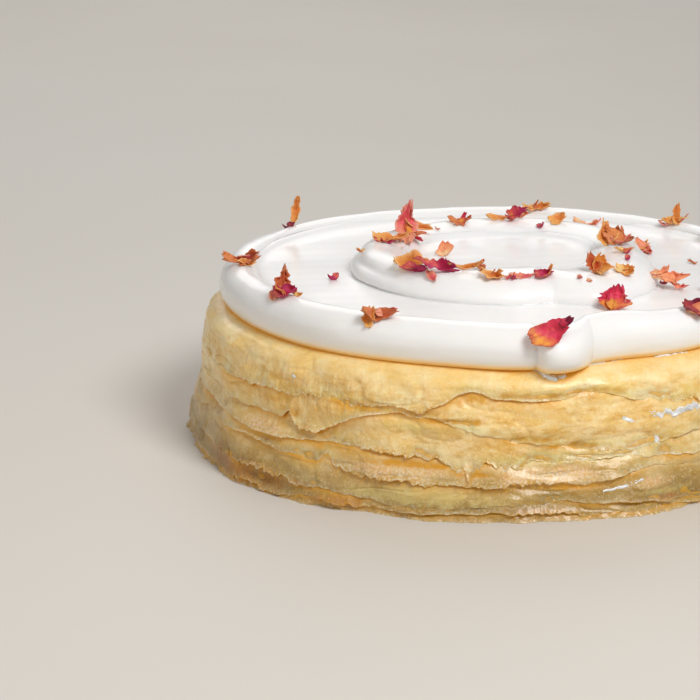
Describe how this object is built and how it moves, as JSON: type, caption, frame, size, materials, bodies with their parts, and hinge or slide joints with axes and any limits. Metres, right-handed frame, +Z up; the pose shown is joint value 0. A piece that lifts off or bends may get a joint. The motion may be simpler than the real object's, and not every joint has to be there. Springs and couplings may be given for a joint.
{
  "type": "crepe cake",
  "caption": "Round uncut crepe cake with ragged draped crepe sides, a smooth cream top with two piped cream rings, and scattered dried rose petals.",
  "frame": {"origin": "middle of the cake's flat underside", "axes": "+Z up through the cake's middle, -Y towards the joins of the piped rings, +X to the right as seen from there"},
  "size_m": [0.1986, 0.2009, 0.0708],
  "materials": {
    "crepe": "pale golden crepe, moist, thin and slightly see-through at its edges",
    "cream": "smooth whipped cream with a soft sheen",
    "petal": "dry rose petal, magenta to orange-brown"
  },
  "bodies": {
    "root": {"crepe_1": "crepe", "crepe_2": "crepe", "crepe_3": "crepe", "crepe_4": "crepe", "crepe_5": "crepe", "crepe_6": "crepe", "crepe_7": "crepe", "cream_pool": "cream", "cream_heart": "cream", "cream_ring_outer": "cream", "cream_ring_inner": "cream", "petal_1": "petal", "petal_2": "petal", "petal_3": "petal", "petal_4": "petal", "petal_5": "petal", "petal_6": "petal", "petal_7": "petal", "petal_8": "petal", "petal_9": "petal", "petal_10": "petal", "petal_11": "petal", "petal_12": "petal", "petal_13": "petal", "petal_14": "petal", "petal_15": "petal", "petal_16": "petal", "petal_17": "petal", "petal_18": "petal", "petal_19": "petal", "petal_20": "petal", "petal_21": "petal", "petal_22": "petal", "petal_23": "petal", "petal_24": "petal", "petal_25": "petal", "petal_26": "petal", "petal_27": "petal", "petal_28": "petal", "petal_29": "petal", "petal_30": "petal", "petal_31": "petal"}
  },
  "joints": []
}
